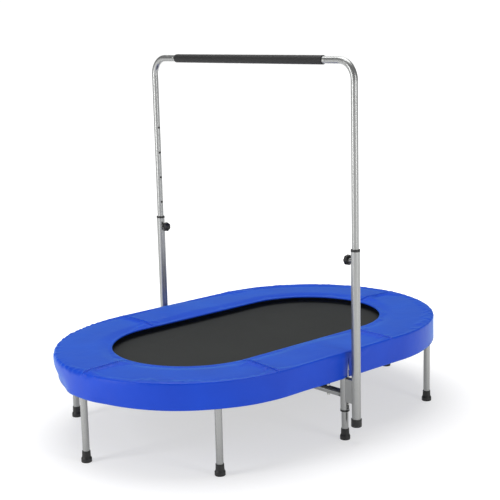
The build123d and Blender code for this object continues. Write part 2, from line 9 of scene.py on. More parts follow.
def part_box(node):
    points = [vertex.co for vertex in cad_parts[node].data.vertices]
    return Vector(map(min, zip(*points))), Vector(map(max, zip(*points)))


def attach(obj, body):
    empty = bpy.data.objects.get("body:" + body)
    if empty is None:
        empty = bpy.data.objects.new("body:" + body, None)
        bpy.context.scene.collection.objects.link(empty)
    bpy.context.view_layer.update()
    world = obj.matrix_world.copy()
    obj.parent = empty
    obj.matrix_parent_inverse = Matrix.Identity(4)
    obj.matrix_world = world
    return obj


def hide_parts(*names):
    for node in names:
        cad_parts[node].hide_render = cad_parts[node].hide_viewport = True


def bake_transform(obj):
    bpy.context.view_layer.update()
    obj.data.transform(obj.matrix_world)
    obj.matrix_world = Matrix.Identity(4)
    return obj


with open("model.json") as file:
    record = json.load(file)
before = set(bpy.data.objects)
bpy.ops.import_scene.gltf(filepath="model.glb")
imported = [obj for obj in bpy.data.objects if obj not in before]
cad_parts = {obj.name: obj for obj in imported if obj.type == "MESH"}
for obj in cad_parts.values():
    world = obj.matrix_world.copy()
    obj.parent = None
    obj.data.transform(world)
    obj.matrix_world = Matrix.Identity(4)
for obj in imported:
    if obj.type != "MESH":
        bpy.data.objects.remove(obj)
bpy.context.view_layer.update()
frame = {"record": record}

scene = bpy.context.scene



def corners(node):          # lowest and highest corner of a node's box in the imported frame, in metres
    low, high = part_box(node)
    return Vector(low), Vector(high)


padLow, padHigh = corners("pad_cover_right")
foamLow = corners("pad_foam_right")[0]
hemHigh = corners("mat_hem_right")[1]
matLow, matHigh = corners("mat_right")
frameLow, frameHigh = corners("frame_tube_right")
springLow = corners("springs_right")[0]
gripLow, gripHigh = corners("foam_grip")

tubeRadius = 0.0127                              # frame tube
endRadius = padHigh.y                            # outside of the skirt
arcCentre = padHigh.x - endRadius                # where the half circle of each end begins
frameRadius = (frameHigh.y + frameLow.y) / 2 + frameHigh.y - tubeRadius
halves = {"Right": ("right_half", 1), "Left": ("left_half", -1)}
legSpots = {}          # middle of each leg that stands under the skirt
for sideName in halves:
    legSpots[sideName] = []
    for leg in ("leg_near_", "leg_far_", "leg_tip_"):
        low, high = corners(leg + sideName.lower())
        legSpots[sideName].append(((low.x + high.x) / 2, (low.y + high.y) / 2))


def srgb(code):          # hex colour to linear
    parts = [int(code[i:i + 2], 16) / 255 for i in (1, 3, 5)]
    return (*(c / 12.92 if c <= 0.04045 else ((c + 0.055) / 1.055) ** 2.4 for c in parts), 1)


def perMetre(millimetres):          # texture scale for a pattern that repeats at this size
    return 1000 / millimetres


def addNode(tree, kind, links=None, values=None, **settings):
    node = tree.nodes.new(kind)
    for key, value in settings.items():
        setattr(node, key, value)
    for socket, value in (values or {}).items():
        node.inputs[socket].default_value = value
    for socket, source in (links or {}).items():
        tree.links.new(source, node.inputs[socket])
    return node


def newMaterial(name, **shader):
    material = bpy.data.materials.new(name)
    material.use_nodes = True
    tree = material.node_tree
    surface = tree.nodes["Principled BSDF"]
    for socket, value in shader.items():
        surface.inputs[socket.replace("_", " ")].default_value = value
    place = addNode(tree, "ShaderNodeTexCoord").outputs["Object"]
    return material, tree, surface, place


def twoTone(tree, surface, factor, dark, light, low=0.35, high=0.65):          # colour between two hexes
    ramp = addNode(tree, "ShaderNodeValToRGB", {"Fac": factor})
    ramp.color_ramp.elements[0].position, ramp.color_ramp.elements[0].color = low, srgb(dark)
    ramp.color_ramp.elements[1].position, ramp.color_ramp.elements[1].color = high, srgb(light)
    tree.links.new(ramp.outputs["Color"], surface.inputs["Base Color"])


def roughBand(tree, surface, factor, low, high):
    band = addNode(tree, "ShaderNodeMapRange", {"Value": factor}, {"To Min": low, "To Max": high})
    tree.links.new(band.outputs["Result"], surface.inputs["Roughness"])


def bumpFrom(tree, surface, height, distance, strength=1.0, under=None):
    links = {"Height": height}
    if under:
        links["Normal"] = under
    bump = addNode(tree, "ShaderNodeBump", links, {"Distance": distance, "Strength": strength})
    tree.links.new(bump.outputs["Normal"], surface.inputs["Normal"])


def powderCoatedSteel():
    # steel tube, silver polyester powder sprayed and baked: satin, fine orange peel, metal flake
    material, tree, surface, place = newMaterial("powderCoatedSteel", Metallic=0.85, Roughness=0.3)
    flake = addNode(tree, "ShaderNodeTexNoise", {"Vector": place}, {"Scale": perMetre(1.1), "Detail": 3})
    cloud = addNode(tree, "ShaderNodeTexNoise", {"Vector": place}, {"Scale": perMetre(55), "Detail": 4})
    twoTone(tree, surface, flake.outputs["Fac"], "#8f908f", "#a3a4a3")
    roughBand(tree, surface, cloud.outputs["Fac"], 0.25, 0.36)
    peel = addNode(tree, "ShaderNodeTexNoise", {"Vector": place}, {"Scale": perMetre(1.8), "Detail": 1})
    bumpFrom(tree, surface, peel.outputs["Fac"], 0.00006, 0.5)
    return material


def zincPlatedSteel():
    # bright zinc plate on drawn wire and turned parts: faint draw lines, slightly blotchy shine
    material, tree, surface, place = newMaterial("zincPlatedSteel", Metallic=1.0, Roughness=0.3)
    blotch = addNode(tree, "ShaderNodeTexNoise", {"Vector": place}, {"Scale": perMetre(5), "Detail": 4})
    twoTone(tree, surface, blotch.outputs["Fac"], "#aaaba7", "#cdceca")
    roughBand(tree, surface, blotch.outputs["Fac"], 0.22, 0.4)
    lines = addNode(tree, "ShaderNodeTexNoise", {"Vector": place}, {"Scale": perMetre(0.6), "Detail": 2})
    bumpFrom(tree, surface, lines.outputs["Fac"], 0.00003, 0.5)
    return material


def mouldedPolypropylene():
    # injection moulded black plastic: fine spark-eroded grain with a soft gloss
    material, tree, surface, place = newMaterial("mouldedPolypropylene", IOR=1.49, Roughness=0.35)
    grain = addNode(tree, "ShaderNodeTexNoise", {"Vector": place}, {"Scale": perMetre(0.8), "Detail": 3})
    twoTone(tree, surface, grain.outputs["Fac"], "#090909", "#151516")
    roughBand(tree, surface, grain.outputs["Fac"], 0.28, 0.44)
    bumpFrom(tree, surface, grain.outputs["Fac"], 0.00006, 0.6)
    return material


def mouldedRubber():
    # compression moulded black rubber: dull, a little dust-grey, faint flow marks
    material, tree, surface, place = newMaterial("mouldedRubber", IOR=1.52, Roughness=0.7)
    grain = addNode(tree, "ShaderNodeTexNoise", {"Vector": place}, {"Scale": perMetre(1.2), "Detail": 4})
    twoTone(tree, surface, grain.outputs["Fac"], "#0c0c0c", "#191919")
    roughBand(tree, surface, grain.outputs["Fac"], 0.45, 0.65)
    bumpFrom(tree, surface, grain.outputs["Fac"], 0.00012, 0.6)
    return material


def closedCellFoam():
    # extruded nitrile foam: a matt black skin full of very small pits
    material, tree, surface, place = newMaterial("closedCellFoam", IOR=1.5, Roughness=0.85)
    pits = addNode(tree, "ShaderNodeTexVoronoi", {"Vector": place}, {"Scale": perMetre(1.6)})
    cloud = addNode(tree, "ShaderNodeTexNoise", {"Vector": place}, {"Scale": perMetre(16), "Detail": 4})
    twoTone(tree, surface, cloud.outputs["Fac"], "#080808", "#101011")
    roughBand(tree, surface, cloud.outputs["Fac"], 0.6, 0.75)
    bumpFrom(tree, surface, pits.outputs["Distance"], 0.0004, 0.7)
    return material


def plainWeave(tree, place, threadMm):          # height of crossed threads, over and under
    split = addNode(tree, "ShaderNodeSeparateXYZ", {"Vector": place})
    waves = []
    for axis in ("X", "Y"):
        turn = addNode(tree, "ShaderNodeMath", {0: split.outputs[axis]},
                       {1: math.pi * perMetre(threadMm)}, operation="MULTIPLY")
        waves.append(addNode(tree, "ShaderNodeMath", {0: turn.outputs[0]}, operation="SINE").outputs[0])
    cross = addNode(tree, "ShaderNodeMath", {0: waves[0], 1: waves[1]}, operation="MULTIPLY")
    band = addNode(tree, "ShaderNodeMapRange", {"Value": cross.outputs[0]},
                   {"From Min": -1.0, "From Max": 1.0})
    return band.outputs["Result"]


def wovenPolypropylene():
    # jumping mat: flat black tape yarn in a plain weave, with a low waxy sheen
    material, tree, surface, place = newMaterial("wovenPolypropylene", IOR=1.49, Roughness=0.7)
    surface.inputs["Specular IOR Level"].default_value = 0.3
    threads = plainWeave(tree, place, 2.6)          # real tape is about 1.3 mm, doubled so that it shows
    cloud = addNode(tree, "ShaderNodeTexNoise", {"Vector": place}, {"Scale": perMetre(110), "Detail": 5})
    shade = addNode(tree, "ShaderNodeMix", {"A": threads, "B": cloud.outputs["Fac"]}, {"Factor": 0.55})
    twoTone(tree, surface, shade.outputs["Result"], "#1c1e1d", "#2b2d2c", 0.2, 0.8)
    roughBand(tree, surface, cloud.outputs["Fac"], 0.62, 0.78)
    bumpFrom(tree, surface, threads, 0.0004, 0.7)
    return material


def polyesterWebbing():
    # narrow woven binding and tabs: black, matt, ribbed by its weft
    material, tree, surface, place = newMaterial("polyesterWebbing", IOR=1.5, Roughness=0.85)
    threads = plainWeave(tree, place, 1.7)
    twoTone(tree, surface, threads, "#0d0d0d", "#232323", 0.1, 0.9)
    roughBand(tree, surface, threads, 0.76, 0.9)
    bumpFrom(tree, surface, threads, 0.0005, 0.8)
    return material


def calenderedVinyl():
    # blue PVC rolled onto a knitted back: smooth, faintly embossed, soft gloss, slack ripples
    material, tree, surface, place = newMaterial("calenderedVinyl", IOR=1.53, Roughness=0.42)
    surface.inputs["Specular IOR Level"].default_value = 0.22
    surface.inputs["Sheen Weight"].default_value = 0.5          # chalky bloom, seen along the cloth
    surface.inputs["Sheen Roughness"].default_value = 0.35
    surface.inputs["Sheen Tint"].default_value = srgb("#6fc4ff")
    emboss = addNode(tree, "ShaderNodeTexVoronoi", {"Vector": place}, {"Scale": perMetre(1.5)})
    cloud = addNode(tree, "ShaderNodeTexNoise", {"Vector": place}, {"Scale": perMetre(160), "Detail": 4})
    twoTone(tree, surface, cloud.outputs["Fac"], "#003cbb", "#0243c6", 0.3, 0.7)
    roughBand(tree, surface, cloud.outputs["Fac"], 0.38, 0.5)
    slack = addNode(tree, "ShaderNodeTexNoise", {"Vector": place}, {"Scale": perMetre(70), "Detail": 2})
    soft = addNode(tree, "ShaderNodeBump", {"Height": slack.outputs["Fac"]},
                   {"Distance": 0.004, "Strength": 0.3})
    bumpFrom(tree, surface, emboss.outputs["Distance"], 0.00006, 0.5, soft.outputs["Normal"])
    return material


def sewingThread(name, dark, light):
    # bonded nylon thread: a hard twisted cord with a slight shine
    material, tree, surface, place = newMaterial(name, IOR=1.53, Roughness=0.55)
    ply = addNode(tree, "ShaderNodeTexNoise", {"Vector": place}, {"Scale": perMetre(0.9), "Detail": 2})
    twoTone(tree, surface, ply.outputs["Fac"], dark, light)
    bumpFrom(tree, surface, ply.outputs["Fac"], 0.0001, 0.6)
    return material


finishes = {
    "silver_coat": powderCoatedSteel(),
    "zinc_steel": zincPlatedSteel(),
    "black_plastic": mouldedPolypropylene(),
    "rubber": mouldedRubber(),
    "grip_foam": closedCellFoam(),
    "mat_fabric": wovenPolypropylene(),
    "webbing": polyesterWebbing(),
    "pad_vinyl": calenderedVinyl(),
}
blueThread = sewingThread("blueThread", "#022f94", "#0540b4")
blackThread = sewingThread("blackThread", "#141414", "#303030")
print("materials made:", len(finishes) + 2)

# nodes carried over from the frame keep their mesh and take the finish of their slot
for part in frame["record"]["subparts"]:
    piece = bpy.data.objects.get(part["node"])
    if piece is None or part["material_slot"] not in finishes:
        continue
    piece.data.materials.clear()
    piece.data.materials.append(finishes[part["material_slot"]])
print("frame nodes dressed")


def newPiece(name, vertices, faces, material, body=None):
    mesh = bpy.data.meshes.new(name)
    mesh.from_pydata([tuple(v) for v in vertices], [], [tuple(f) for f in faces])
    mesh.validate()
    mesh.update()
    mesh.materials.append(material)
    mesh.shade_smooth()
    piece = bpy.data.objects.new(name, mesh)
    scene.collection.objects.link(piece)
    if body:
        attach(piece, body)
    return piece


def ease(value, low, high):          # smooth step from 0 at low to 1 at high
    share = min(1, max(0, (value - low) / (high - low)))
    return share * share * (3 - 2 * share)


rowSpacing = {"hingeZone": 0.085, "hingeStep": 0.008, "seamZone": 0.009, "seamStep": 0.0014}
arcLength = math.pi * endRadius
ovalLength = 2 * arcCentre + arcLength          # round the outside of one half


def ovalRows(step, closeTo=()):          # distances along one half, closer at the hinge and at each seam
    rows, place = [0.0], 0.0
    while place < ovalLength:
        size = step
        if min(place, ovalLength - place) < rowSpacing["hingeZone"]:
            size = min(step, rowSpacing["hingeStep"])
        if any(abs(place - seam) < rowSpacing["seamZone"] for seam in closeTo):
            size = rowSpacing["seamStep"]
        place += size
        rows.append(place)
    stretch = ovalLength / rows[-1]
    return [row * stretch for row in rows]


def ovalSpot(along, radius, side):          # near middle, round the end, to the far middle
    if along < arcCentre:
        return side * along, -radius
    if along > arcCentre + arcLength:
        return side * (ovalLength - along), radius
    angle = (along - arcCentre) / endRadius - math.pi / 2
    return side * (arcCentre + radius * math.cos(angle)), radius * math.sin(angle)


def loftFaces(rows, columns, flip, capEnds=True):          # rings of columns joined row to row
    faces = []
    for i in range(rows - 1):
        for j in range(columns):
            k = (j + 1) % columns
            quad = (i * columns + j, i * columns + k, (i + 1) * columns + k, (i + 1) * columns + j)
            faces.append(quad[::-1] if flip else quad)
    if capEnds:
        first = tuple(range(columns))
        last = tuple((rows - 1) * columns + j for j in range(columns))
        faces.append(first if flip else first[::-1])
        faces.append(last[::-1] if flip else last)
    return faces


def sharpEnds(piece, rows, columns):          # the hidden end caps don't pull on the shading beside them
    for edge in piece.data.edges:
        low, high = sorted(v // columns for v in edge.vertices)
        if low == high and low in (0, rows - 1):
            edge.use_edge_sharp = True


def bendAcrossHinge(piece):          # bakes the piece's placement into its mesh; nothing here bends it at the hinge
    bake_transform(piece)


pad = {
    "step": 0.0065,
    "inset": 0.001,            # the skirt's outside lies this far within the CAD cover
    "width": 0.190,            # from the skirt's outside to the opening
    "crown": 0.003,            # how far the foam stands above its edges
    "creaseRound": 0.0045,
    "lipDrop": 0.005,          # the inner edge lies lower than the crown
    "lipThick": 0.006,
    "lipRound": 0.003,
    "lipTaper": 0.045,         # the foam thins out over this width
    "underCloth": 0.0015,      # cloth below the foam
    "skirtSheet": 0.0022,
    "seamDepth": 0.0042,
    "seamWidth": 0.0021,
    "fill": 0.7,               # share of the cover's inside that the foam takes
}
puff = {
    "frames": 14,
    "pressure": 2.4,
    "slackCloth": -0.012,      # a little more cloth than the shape needs
    "moveCap": 0.0045,
    "sewnWidth": 0.006,        # held down on each side of a seam
    "calmEnd": 0.15,           # fades out towards the middle, so that the halves meet flush
}
drape = {
    "softCorner": 0.017,       # rounder edge where the cover sits loose on the frame
    "hemTuck": 0.011,
    "hemFlare": 0.007,
    "gather": 0.003,           # height of the gathers at the crease
    "gatherReach": 0.016,
    "gatherPerMetre": 70,
    "hang": 0.0022,            # slow unevenness of the hanging skirt
    "hemWave": 0.002,
    "hingeBulge": 0.0022,      # the hinge bracket pushes from inside
    "hingeDrop": 0.017,        # how far below the top it pushes
    "edgeCurl": 0.004,         # the cut edges curl in at the middle
    "slit": 0.0026,            # half of the gap in the skirt at the middle
    "slitZone": 0.02,
}
innerRadius = endRadius - pad["width"]
padTop = padHigh.z - pad["crown"]
skirtOutside = endRadius - pad["inset"]
padSeams = {          # cross seams as distances along the half oval from the near middle
    "Right": (0.204, ovalLength / 2 - 0.024),
    "Left": (arcCentre + 0.039, ovalLength / 2 - 0.026, ovalLength - 0.22),
}


def padProfile():          # closed section as (radius, height, name of the part it belongs to)
    crease, lipThick, taper = pad["creaseRound"], pad["lipThick"], pad["lipTaper"]
    bottom, under, inner = padLow.z, foamLow.z - pad["underCloth"], skirtOutside - pad["skirtSheet"]
    points = [(skirtOutside, bottom + (padTop - crease - bottom) * k / 12, "skirt") for k in range(12)]
    for k in range(6):
        angle = math.pi / 2 * k / 5
        points.append((skirtOutside - crease * (1 - math.cos(angle)),
                       padTop - crease * (1 - math.sin(angle)), "crease"))
    start, end = skirtOutside - crease, innerRadius + pad["lipRound"]
    for k in range(1, 27):
        share = k / 27
        crown = pad["crown"] * (1 - (2 * share - 1) ** 4) - pad["lipDrop"] * ease(share, 0.72, 1.0)
        points.append((start + (end - start) * share, padTop + crown, "top"))
    lip = padTop - pad["lipDrop"]
    for k in range(5):
        angle = math.pi * k / 4
        points.append((end - pad["lipRound"] * math.sin(angle),
                       lip - lipThick / 2 * (1 - math.cos(angle)), "lip"))
    for k in range(1, 5):
        share = k / 5
        drop = (lip - lipThick - under) * ease(share, 0, 1)
        points.append((end + taper * share, lip - lipThick - drop, "under"))
    for k in range(8):
        points.append((end + taper + (inner - end - taper) * k / 8, under, "under"))
    for k in range(12):
        points.append((inner, under + (bottom - under) * k / 11, "inside"))
    return points


def looseShare(along, sideName):          # the left end sags, most of all on its far side
    if sideName == "Right":
        return 0
    grow = ease(along, arcCentre + 0.25, ovalLength / 2 + 0.1)
    return grow * (1 - ease(along, ovalLength - 0.42, ovalLength - 0.2))


def flareShare(along, sideName):          # the right end's hem stands out a little
    if sideName == "Left":
        return 0
    grow = ease(along, arcCentre + 0.1, ovalLength / 2)
    return grow * (1 - ease(along, ovalLength - 0.5, ovalLength - 0.25))


def endShare(along):          # 0 along the straight sides, 1 round the end
    grow = ease(along, arcCentre - 0.1, arcCentre + 0.25)
    return grow * ease(ovalLength - along, arcCentre - 0.1, arcCentre + 0.25)


def softenCorner(radius, z, share):          # turns the tight crease into a round shoulder
    size = drape["softCorner"]
    inward, down = (skirtOutside - radius) / size, (padTop - z) / size
    if share <= 0 or inward >= 1 or down >= 1:
        return radius, z
    if down <= 0.3 and inward <= 0.3:
        turn = math.pi / 4 * (1 + inward - down)
    elif inward < 0.3:
        turn = math.pi / 4 * (1 - down)
    else:
        turn = math.pi / 4 * (1 + inward)
    softRadius = skirtOutside - size * (1 - math.cos(turn))
    softZ = padTop - size * (1 - math.sin(turn))
    return radius + (softRadius - radius) * share, z + (softZ - z) * share


def puffPad(piece, rows, profile, seams):          # cloth simulation: air under a cover held at its seams
    group = piece.vertex_groups.new(name="sewn")
    columns = len(profile)
    for i, along in enumerate(rows):
        seam = min([abs(along - s) for s in seams] + [along, ovalLength - along])
        for j, (radius, z, zone) in enumerate(profile):
            loose = zone == "top" and seam > puff["sewnWidth"]
            group.add([i * columns + j], 0.0 if loose else 1.0, "REPLACE")
    before = np.array([v.co[:] for v in piece.data.vertices])
    cloth = piece.modifiers.new("puff", "CLOTH")
    cloth.settings.vertex_group_mass = "sewn"
    cloth.settings.quality = 5
    cloth.settings.mass = 0.3
    cloth.settings.tension_stiffness = 12
    cloth.settings.compression_stiffness = 12
    cloth.settings.bending_stiffness = 0.4
    cloth.settings.shrink_min = puff["slackCloth"]
    cloth.settings.use_pressure = True
    cloth.settings.uniform_pressure_force = puff["pressure"]
    cloth.settings.effector_weights.gravity = 0
    cloth.collision_settings.use_collision = False
    for number in range(1, puff["frames"] + 1):
        scene.frame_set(number)
    moved = piece.evaluated_get(bpy.context.evaluated_depsgraph_get())
    shift = np.array([v.co[:] for v in moved.data.vertices]) - before
    size = np.linalg.norm(shift, axis=1)
    shift *= np.minimum(1, puff["moveCap"] / np.maximum(size, 1e-9))[:, None]
    calm = [ease(min(along, ovalLength - along), 0, puff["calmEnd"]) for along in rows]
    shift *= np.repeat(calm, columns)[:, None]
    piece.modifiers.remove(cloth)
    piece.vertex_groups.remove(group)
    scene.frame_set(1)
    piece.data.vertices.foreach_set("co", (before + shift).ravel())
    print("  cloth moved up to", round(float(size.max()) * 1000, 1), "mm")


def clearOfLegs(along, sideName):          # the hem can only tuck in between the legs
    x, y = ovalSpot(along, endRadius, halves[sideName][1])
    nearest = min(math.hypot(x - leg[0], y - leg[1]) for leg in legSpots[sideName])
    return ease(nearest, 0.045, 0.13)


def skirtHang(along, z, sideName):          # how far the skirt hangs outwards from upright at this height
    middle, loose = min(along, ovalLength - along), looseShare(along, sideName)
    low = ease(padHigh.z - z, 0.03, 0.087)
    hang = noise.noise((along * 9, z * 7, halves[sideName][1] * 3.0)) * drape["hang"] * low
    hang -= drape["hemWave"] * low * endShare(along) * (0.6 + 0.4 * math.sin(along * 14))
    hang += low * flareShare(along, sideName) * drape["hemFlare"]
    hang -= low * loose * drape["hemTuck"] * clearOfLegs(along, sideName)
    bulge = drape["hingeBulge"] * math.exp(-((z - padHigh.z + drape["hingeDrop"]) / 0.008) ** 2)
    hang += bulge * (1 - ease(middle, 0.07, 0.1))
    return hang - drape["edgeCurl"] * low * (1 - ease(middle, 0, 0.03))


def sewPad(piece, rows, profile, sideName):          # seams, gathers, sag and the slit, after the cloth
    columns = len(profile)
    side = halves[sideName][1]
    for i, along in enumerate(rows):
        away = min(abs(along - s) for s in padSeams[sideName])
        groove = math.exp(-(away / pad["seamWidth"]) ** 2)
        ridge = math.exp(-((away - 3 * pad["seamWidth"]) / (1.6 * pad["seamWidth"])) ** 2)
        slack = 0.15 + 0.3 * endShare(along) + 0.75 * looseShare(along, sideName)
        middle = min(along, ovalLength - along)
        x, y = ovalSpot(along, endRadius, side)
        outward = Vector((x - side * arcCentre if arcCentre < along < ovalLength - arcCentre else 0, y, 0))
        outward.normalize()
        for j, (radius, z, zone) in enumerate(profile):
            vertex = piece.data.vertices[i * columns + j]
            if zone in ("top", "crease"):
                vertex.co.z += (0.22 * ridge - groove) * pad["seamDepth"]
            fromCrease = math.hypot(radius - endRadius, z - padHigh.z)
            if zone in ("top", "crease", "skirt") and fromCrease < 3 * drape["gatherReach"]:
                wave = slack * noise.noise((along * drape["gatherPerMetre"], fromCrease * 40, side * 5.0))
                wave += 0.5 * groove * math.sin(fromCrease * 420)
                wave *= drape["gather"] * math.exp(-(fromCrease / drape["gatherReach"]) ** 2)
                vertex.co += outward * wave
                vertex.co.z += 0.9 * wave * (zone != "skirt")
            if zone in ("skirt", "inside"):
                vertex.co += outward * skirtHang(along, z, sideName)
                if middle < drape["slitZone"]:
                    opening = ease(padHigh.z - z, 0.012, 0.05) * (1 - middle / drape["slitZone"])
                    vertex.co.x += side * drape["slit"] * opening
    piece.data.update()


def makePad(sideName):
    side = halves[sideName][1]
    rows = ovalRows(pad["step"], padSeams[sideName])
    profile = padProfile()
    vertices = []
    for along in rows:
        loose = looseShare(along, sideName)
        for radius, z, zone in profile:
            if zone in ("skirt", "crease", "top"):
                radius, z = softenCorner(radius, z, loose)
            vertices.append((*ovalSpot(along, radius, side), z))
    faces = loftFaces(len(rows), len(profile), side < 0)
    piece = newPiece("pad" + sideName, vertices, faces, finishes["pad_vinyl"])
    sharpEnds(piece, len(rows), len(profile))
    puffPad(piece, rows, profile, padSeams[sideName])
    sewPad(piece, rows, profile, sideName)
    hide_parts("pad_cover_" + sideName.lower(), "pad_foam_" + sideName.lower())
    bendAcrossHinge(piece)


for sideName in halves:
    makePad(sideName)
print("pads made")


def stitchRow(spots, width, height):          # small raised dashes, each from one spot to the next
    vertices, faces, up = [], [], Vector((0, 0, 1))
    shape = ((0, 0, 0.3), (0.2, 0.8, 0.9), (0.5, 1, 1), (0.8, 0.8, 0.9), (1, 0, 0.3))  # along, lift, width
    for start, end in spots:
        start, end = Vector(start), Vector(end)
        across = (end - start).normalized().cross(up) * width / 2
        rise = up * height
        base = len(vertices)
        for share, lift, wide in shape:
            middle = start.lerp(end, share)
            vertices += [middle - across * wide, middle - across * wide * 0.5 + rise * lift,
                         middle + across * wide * 0.5 + rise * lift, middle + across * wide]
        for ring in range(4):
            for k in range(4):
                m = (k + 1) % 4
                a, b = base + ring * 4 + k, base + ring * 4 + m
                faces.append((a, b, b + 4, a + 4))
        faces.append((base + 3, base + 2, base + 1, base))
        faces.append((base + 16, base + 17, base + 18, base + 19))
    return vertices, faces


mat = {
    "step": 0.016,
    "hingeLines": 10,          # closer lines where the mat bends
    "hingeStep": 0.008,
    "arcLines": 22,
    "strips": 36,
    "underHem": 0.004,         # the hem hides the mat's cut edge
    "thin": 0.0004,            # the cloth is this much thinner than its CAD solid
    "dip": 0.0016,          # the middle hangs slightly below the edge
    "stitchPitch": 0.0075,
    "stitchLength": 0.0052,
    "stitchWidth": 0.0011,
    "stitchRise": 0.0006,
}
hem = {
    "step": 0.012,
    "width": 0.022,
    "cover": 0.0019,           # webbing above and below the mat
    "stitchRows": (0.0035, 0.0185),          # in from the hem's inner edge
    "stitchStart": 0.006,
}
tab = {
    "width": 0.021,
    "thick": 0.0013,
    "lift": 0.0021,            # above the mat, on the hem
    "stitchShares": (0.22, 0.5, 0.78),          # three rows across each tab
    "stitchFrom": -0.0075,
    "stitchPitch": 0.0055,
    "stitchLength": 0.004,
}
matRadius = hemHigh.y
hemInside = matRadius - hem["width"]
clothRadius = matRadius - mat["underHem"]


def matLines():          # half widths of the mat from the middle to the tip
    bendEnd = mat["hingeLines"] * mat["hingeStep"]
    straight = round((arcCentre - bendEnd) / mat["step"])
    places = [mat["hingeStep"] * k for k in range(mat["hingeLines"] + 1)]
    places += [bendEnd + (arcCentre - bendEnd) * k / straight for k in range(1, straight + 1)]
    lines = [(x, clothRadius) for x in places]
    for k in range(1, mat["arcLines"] + 1):
        angle = 0.4995 * math.pi * k / mat["arcLines"]          # stops just short of the tip
        lines.append((arcCentre + clothRadius * math.sin(angle), clothRadius * math.cos(angle)))
    return lines


def makeMat(sideName):          # a grid of cloth, top and underside
    side, lines = halves[sideName][1], matLines()
    across = [2 * k / mat["strips"] - 1 for k in range(mat["strips"] + 1)]
    vertices = []
    for x, half in lines:
        for top in (True, False):
            for share in (across if top else across[::-1]):
                y = half * share
                hollow = 1 - (math.hypot(max(0, x - arcCentre), y) / clothRadius) ** 2
                z = (matHigh.z if top else matLow.z + mat["thin"]) - mat["dip"] * hollow
                z += 0.0002 * noise.noise((x * 11, y * 11, 2.0))
                vertices.append((side * x, y, z))
    columns = 2 * len(across)
    faces = loftFaces(len(lines), columns, side > 0)
    piece = newPiece("mat" + sideName, vertices, faces, finishes["mat_fabric"])
    sharpEnds(piece, len(lines), columns)
    for edge in piece.data.edges:
        low, high = sorted(v % columns for v in edge.vertices)
        if (low, high) in ((0, columns - 1), (len(across) - 1, len(across))):
            edge.use_edge_sharp = True
    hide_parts("mat_" + sideName.lower())
    bendAcrossHinge(piece)
    return piece


def makeHem(sideName):          # webbing folded over the edge of the mat, one closed band
    side, rows = halves[sideName][1], ovalRows(hem["step"])
    inner, outer = hemInside, matRadius
    low, high = matLow.z - hem["cover"], matHigh.z + hem["cover"]
    profile = [(inner, matHigh.z + 0.0002), (inner + 0.0006, high - 0.0004), (inner + 0.003, high),
               (inner + 0.011, high + 0.0001), (outer - 0.003, high), (outer - 0.0008, high - 0.001),
               (outer, (low + high) / 2), (outer - 0.0008, low + 0.001), (outer - 0.003, low),
               (inner + 0.003, low), (inner + 0.0006, low + 0.0004), (inner, matLow.z - 0.0002)]
    vertices = [(*ovalSpot(along, radius, side), z) for along in rows for radius, z in profile]
    faces = loftFaces(len(rows), len(profile), side > 0)
    piece = newPiece("matHem" + sideName, vertices, faces, finishes["webbing"])
    sharpEnds(piece, len(rows), len(profile))
    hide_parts("mat_hem_" + sideName.lower())
    bendAcrossHinge(piece)
    return piece


def makeHemStitches(sideName):
    side, spots = halves[sideName][1], []
    height = matHigh.z + hem["cover"] - 0.0001          # sunk a little into the webbing
    for offset in hem["stitchRows"]:
        radius = hemInside + offset
        place = hem["stitchStart"]
        while place < ovalLength - hem["stitchStart"] - 0.002:
            scale = endRadius / radius if arcCentre < place < arcCentre + arcLength else 1
            ends = (place, place + mat["stitchLength"] * scale)
            spots.append([(*ovalSpot(end, radius, side), height) for end in ends])
            place += mat["stitchPitch"] * scale
    vertices, faces = stitchRow(spots, mat["stitchWidth"], mat["stitchRise"])
    piece = newPiece("hemStitches" + sideName, vertices, faces, blackThread)
    bendAcrossHinge(piece)
    return piece


spring = {
    "count": 19,
    "wire": 0.0024,
    "barrel": 0.011,
    "barrelLength": 0.046,
    "turns": 18,
    "pointsPerTurn": 14,
    "wireSides": 6,
    "eyeRadius": 0.0042,
    "ringReach": 0.0233,          # from the middle of the hem to the middle of the eye
}


def springPlaces():          # same even spacing as in the frame: x, y and turn of each spring
    first = springLow.x + spring["barrel"] / 2
    straight = arcCentre - first
    run = 2 * straight + math.pi * frameRadius
    places = []
    for number in range(spring["count"]):
        along = run * number / (spring["count"] - 1)
        if along < straight:
            places.append((first + along, 0, -math.pi / 2))
        elif along > run - straight:
            places.append((first + run - along, 0, math.pi / 2))
        else:
            places.append((arcCentre, 0, -math.pi / 2 + (along - straight) / frameRadius))
    return places


def springLine():          # centre line of the wire, along x from the mat's ring to the frame tube
    eyeX, eyeRadius = matRadius - hem["width"] / 2 + spring["ringReach"], spring["eyeRadius"]
    radius = (spring["barrel"] - spring["wire"]) / 2
    barrelStart = eyeX + eyeRadius
    barrelEnd = barrelStart + spring["barrelLength"]
    line = []
    for k in range(15):          # open eye round the ring's corner
        angle = math.radians(-25 - 305 * k / 14)
        line.append((eyeX + eyeRadius * math.cos(angle), 0, eyeRadius * math.sin(angle)))
    steps = spring["turns"] * spring["pointsPerTurn"]
    for k in range(steps + 1):
        angle = 2 * math.pi * k / spring["pointsPerTurn"]
        grow = min(1, k / 10, (steps - k) / 10 + 0.2)
        line.append((barrelStart + 0.0012 + (barrelEnd - barrelStart - 0.0024) * k / steps,
                     radius * grow * math.cos(angle), radius * grow * math.sin(angle)))
    hookX = frameRadius - tubeRadius          # the hook ends in the frame tube
    line += [(barrelEnd + 0.004, 0, 0.0006), (hookX - 0.006, 0, 0), (hookX - 0.001, 0, 0)]
    line.append((hookX + 0.003, 0, 0))
    return np.array(line)


